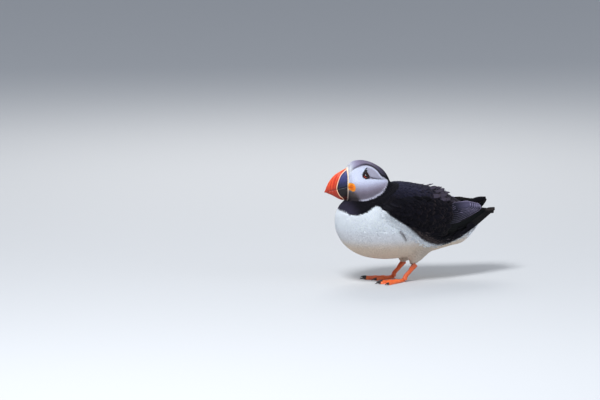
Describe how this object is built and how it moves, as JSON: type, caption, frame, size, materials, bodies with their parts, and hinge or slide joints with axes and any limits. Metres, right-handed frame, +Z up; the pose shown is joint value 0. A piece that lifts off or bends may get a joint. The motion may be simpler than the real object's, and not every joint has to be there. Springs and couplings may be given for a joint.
{
  "type": "atlantic puffin figure",
  "caption": "Standing seabird figure with a tall grooved bill, webbed feet, folded wings and a short tail; still, life-size model of a live animal.",
  "frame": {"origin": "on the floor, under the middle of the whole bird's bounding box", "axes": "+Z up, -Y the way the body faces, +X the bird's left side; the head is turned 17 degrees to its right"},
  "size_m": [0.105, 0.2212, 0.1512],
  "materials": {
    "face_feathers": "short dense matt feathers",
    "black_feathers": "dense feathers, soft sheen",
    "white_feathers": "dense matt feathers",
    "wing_feathers": "stiff vaned feathers, soft sheen",
    "bill_red": "horn, satin, grooved",
    "bill_cream": "horn and bare skin, satin",
    "rosette": "wrinkled bare skin",
    "eye": "wet, glossy",
    "foot_orange": "scaly webbed skin, slightly wet",
    "claw": "dark horn, satin"
  },
  "bodies": {
    "root": {"head": "face_feathers", "neck": "black_feathers", "tail": "black_feathers", "trunk": "white_feathers", "thigh_left": "white_feathers", "thigh_right": "white_feathers", "wing_left_coverts": "wing_feathers", "wing_left_secondaries": "wing_feathers", "wing_left_primaries": "wing_feathers", "wing_right_coverts": "wing_feathers", "wing_right_secondaries": "wing_feathers", "wing_right_primaries": "wing_feathers", "bill_upper": "bill_red", "bill_lower": "bill_red", "bill_rim": "bill_cream", "rosette_left": "rosette", "rosette_right": "rosette", "eye_left": "eye", "eye_right": "eye", "shank_left": "foot_orange", "shank_right": "foot_orange", "foot_left": "foot_orange", "foot_right": "foot_orange", "claw_left_inner": "claw", "claw_left_middle": "claw", "claw_left_outer": "claw", "claw_right_inner": "claw", "claw_right_middle": "claw", "claw_right_outer": "claw"}
  },
  "joints": []
}
